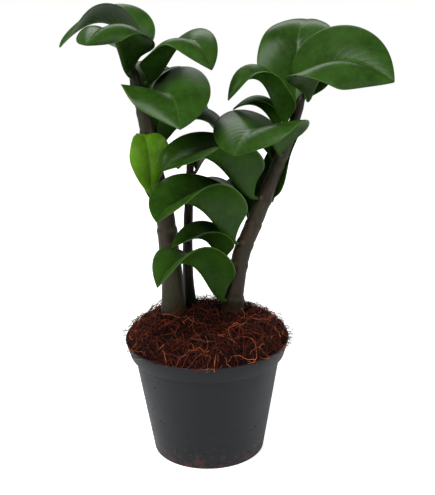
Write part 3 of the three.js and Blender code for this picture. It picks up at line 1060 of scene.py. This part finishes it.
def blade_point(leaf, frames, u, v):
    """A point of the blade; v runs from the right margin (-1) to the left (1)."""
    place, left, up = frames[round(u * (len(frames) - 1))]
    start = PETIOLE_LENGTH / leaf["length"]
    blade = max(0.0, (u - start) / (1 - start))
    half = max(PETIOLE_WIDTH / 2 * (1 if u < 0.5 else 0.12), leaf["width"] / 2 * blade_profile(blade))
    cup = math.radians(mix(leaf["cup"], bent(u, leaf)))
    curl = math.radians(leaf["curl"][0 if v > 0 else 1]) * smoothstep(u, 0, CURL_FULL)
    a = abs(v)
    if abs(curl) < 1e-3:
        across, rise = a * math.cos(cup), a * math.sin(cup)
    else:
        across = (math.sin(cup + curl * a) - math.sin(cup)) / curl
        rise = (math.cos(cup) - math.cos(cup + curl * a)) / curl
    return place + left * (math.copysign(across, v) * half if v else 0.0) + up * rise * half


def leaf_piece(row, thickness, keel, materials):
    leaf = {**LEAF_DEFAULTS, **row}
    steps_u, steps_v = 48, 16
    frames = midrib(leaf, steps_u)
    crown = Vector((0, 0, CROWN))
    phase = len(leaf["name"]) + leaf["at"] * 31

    def place(u, v):
        across = 2 * v - 1
        point = blade_point(leaf, frames, u, across)
        _, left, up = frames[round(u * steps_u)]
        # The margin waves a little, and the midrib lies in a shallow groove.
        wave = MARGIN_WAVE * math.sin(u * 9 + phase) * abs(across) ** 3 * math.sin(math.pi * u)
        groove = -MIDRIB_GROOVE * math.exp(-((across / 0.07) ** 2)) * smoothstep(u, 0.02, 0.2) * (1 - u)
        return (point + up * (wave + groove)) * MM + crown

    name = leaf["name"].replace("leaf_", "blade_")
    blade = shaped_grid(name, steps_u, steps_v, place)
    group = blade.vertex_groups.new(name="thickness")
    full = thickness + keel
    grid = [(i, vertex) for i, vertex in enumerate(blade.data.vertices)]
    columns = steps_u + 1
    for i, _ in grid:
        u, v = (i % columns) / steps_u, (i // columns) / steps_v
        across = abs(2 * v - 1)
        thin = thickness * (1 - 0.45 * across**2)
        ridge = keel * (1 - u) ** 1.2 * math.exp(-((across / 0.09) ** 2))
        stalk = keel * (1 - smoothstep(u, 0.03, 0.1))
        group.add([i], min(1.0, (thin + max(ridge, stalk)) / full), "REPLACE")
    apply_modifier(
        blade, "SOLIDIFY", thickness=full, offset=0.0, vertex_group="thickness",
        use_even_offset=False, material_offset=1, material_offset_rim=2, use_rim=True,
    )
    apply_modifier(blade, "SUBSURF", levels=1, render_levels=1)
    slots = [polygon.material_index for polygon in blade.data.polygons]
    finish_piece(blade, materials, [leaf["name"]])
    blade.data.polygons.foreach_set("material_index", slots)
    low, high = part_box(leaf["name"])
    corners = [v.co for v in blade.data.vertices]
    for axis in range(3):
        made = min(c[axis] for c in corners), max(c[axis] for c in corners)
        if abs(made[0] - low[axis]) > PLACE_TOLERANCE or abs(made[1] - high[axis]) > PLACE_TOLERANCE:
            raise RuntimeError(f"{name} is out of place along axis {axis}: {made}, {low}, {high}")
    return blade


class ZZ_OT_leaves(bpy.types.Operator):
    """Model the curled leaves"""

    bl_idname = "zz.leaves"
    bl_label = "Leaves"

    def execute(self, context):
        s = context.scene.zz_plant
        upper = leaf_material("leaf_upper", s.upper, s.vein, 0.34, 0.5)
        under = leaf_material("leaf_under", s.under, s.vein, 0.46, 0.7)
        # The rim faces take the painted margin highlight.
        rim = painted_highlight_margin_material("leaf_margin_painted_highlight", s.margin)
        # Painted backlight: the brighter yellow-green copies stand in for light shining through that leaf.
        # The underside is painted brighter still, and the margin colour serves for its veins, midrib and
        # edge.
        painted_backlit_upper = leaf_material("leaf_upper_painted_backlit", s.painted_backlit, s.margin, 0.3, 0.5)
        painted_backlit_under = leaf_material("leaf_under_painted_backlit", shade(s.painted_backlit, 1.2), s.margin, 0.4, 0.6)
        for row in LEAVES:
            painted_backlit = row["name"] in PAINTED_BACKLIT_LEAVES
            materials = [painted_backlit_upper, painted_backlit_under, rim] if painted_backlit else [upper, under, rim]
            leaf_piece(row, s.thickness, s.keel, materials)
        return {"FINISHED"}


# ----------------------------------------
# Stage
# ----------------------------------------
def area_light(name, power, size, place, target):
    data = bpy.data.lights.new(name, "AREA")
    data.energy = power
    data.shape = "RECTANGLE"
    data.size, data.size_y = size
    light = bpy.data.objects.new(name, data)
    bpy.context.collection.objects.link(light)
    light.location = place
    light.rotation_euler = (Vector(target) - Vector(place)).to_track_quat("-Z", "Y").to_euler()
    return light


def seen_as(tree, socket, to_camera, to_scene):
    """A brightness that differs between what the camera sees and the light it casts."""
    rays = tree.nodes.new("ShaderNodeLightPath")
    strength = tree.nodes.new("ShaderNodeMapRange")
    strength.inputs["To Min"].default_value = to_scene
    strength.inputs["To Max"].default_value = to_camera
    tree.links.new(rays.outputs["Is Camera Ray"], strength.inputs["Value"])
    tree.links.new(strength.outputs["Result"], socket)


class ZZ_OT_stage(bpy.types.Operator):
    """Set up the white floor, the soft lights and the camera"""

    bl_idname = "zz.stage"
    bl_label = "Stage"

    def execute(self, context):
        s = context.scene.zz_stage
        deselect()
        bpy.ops.mesh.primitive_plane_add(size=FLOOR_SIZE, location=(0, 0, -0.0002))
        floor = context.object
        floor.name = "white_floor"
        n = Nodes("white_paper")
        grain = n.noise(n.coords.outputs["Object"], 40, 3)
        white = n.ramp(grain, [(0.3, (0.88, 0.88, 0.88)), (0.7, (0.92, 0.92, 0.92))])
        n.link(white, n.shader.inputs["Base Color"])
        n.set(Roughness=0.9, Specular_IOR_Level=0.1, Emission_Color=(1, 1, 1, 1))
        seen_as(n.tree, n.shader.inputs["Emission Strength"], s.glow, FLOOR_CAST)
        floor.data.materials.append(n.material)

        world = bpy.data.worlds.new("white_surround")
        context.scene.world = world
        world.use_nodes = True
        tree = world.node_tree
        background = tree.nodes["Background"]
        background.inputs["Color"].default_value = (1, 1, 1, 1)
        seen_as(tree, background.inputs["Strength"], 1.0, s.sky)
        area_light("key", s.key, (0.7, 0.7), (-0.55, -0.75, 1.15), (0, 0, 0.2))
        area_light("fill", s.fill, (0.8, 0.8), (1.1, -0.7, 0.7), (0, 0, 0.18))
        area_light("back", s.back, (1.0, 0.6), (0.1, 1.1, 1.2), (0, 0, 0.2))

        data = bpy.data.cameras.new("camera")
        data.lens = s.lens
        data.sensor_width = 36
        data.clip_start = 0.01
        camera = bpy.data.objects.new("camera", data)
        context.collection.objects.link(camera)
        turn = Matrix.Rotation(math.pi / 2 - s.pitch, 4, "X") @ Matrix.Rotation(s.roll, 4, "Z")
        camera.matrix_world = Matrix.Translation(s.place) @ turn
        context.scene.camera = camera
        context.scene.view_settings.view_transform = "Standard"
        return {"FINISHED"}


# ----------------------------------------
# Panel and registration
# ----------------------------------------
OPERATORS = (ZZ_OT_pot, ZZ_OT_mix, ZZ_OT_strands, ZZ_OT_crumbs, ZZ_OT_stems, ZZ_OT_leaves, ZZ_OT_stage)
SETTINGS = {
    "zz_pot": ZZ_PotSettings,
    "zz_mix": ZZ_MixSettings,
    "zz_plant": ZZ_PlantSettings,
    "zz_stage": ZZ_StageSettings,
}


class ZZ_PT_panel(bpy.types.Panel):
    """Lists the settings and the pieces"""

    bl_label = "ZZ Plant"
    bl_idname = "ZZ_PT_panel"
    bl_space_type = "VIEW_3D"
    bl_region_type = "UI"
    bl_category = "ZZ Plant"

    def draw(self, context):
        for name, group in SETTINGS.items():
            box = self.layout.box()
            box.label(text=group.__doc__.strip("."))
            for key in group.__annotations__:
                box.prop(getattr(context.scene, name), key)
        for operator in OPERATORS:
            self.layout.operator(operator.bl_idname)


def register():
    for group in SETTINGS.values():
        bpy.utils.register_class(group)
    for name, group in SETTINGS.items():
        setattr(bpy.types.Scene, name, bpy.props.PointerProperty(type=group))
    for operator in OPERATORS:
        bpy.utils.register_class(operator)
    bpy.utils.register_class(ZZ_PT_panel)


def unregister():
    bpy.utils.unregister_class(ZZ_PT_panel)
    for operator in reversed(OPERATORS):
        bpy.utils.unregister_class(operator)
    for name in SETTINGS:
        delattr(bpy.types.Scene, name)
    for group in SETTINGS.values():
        bpy.utils.unregister_class(group)


def main():
    register()
    for operator in OPERATORS:
        category, name = operator.bl_idname.split(".")
        getattr(getattr(bpy.ops, category), name)()


if __name__ == "__main__":
    main()
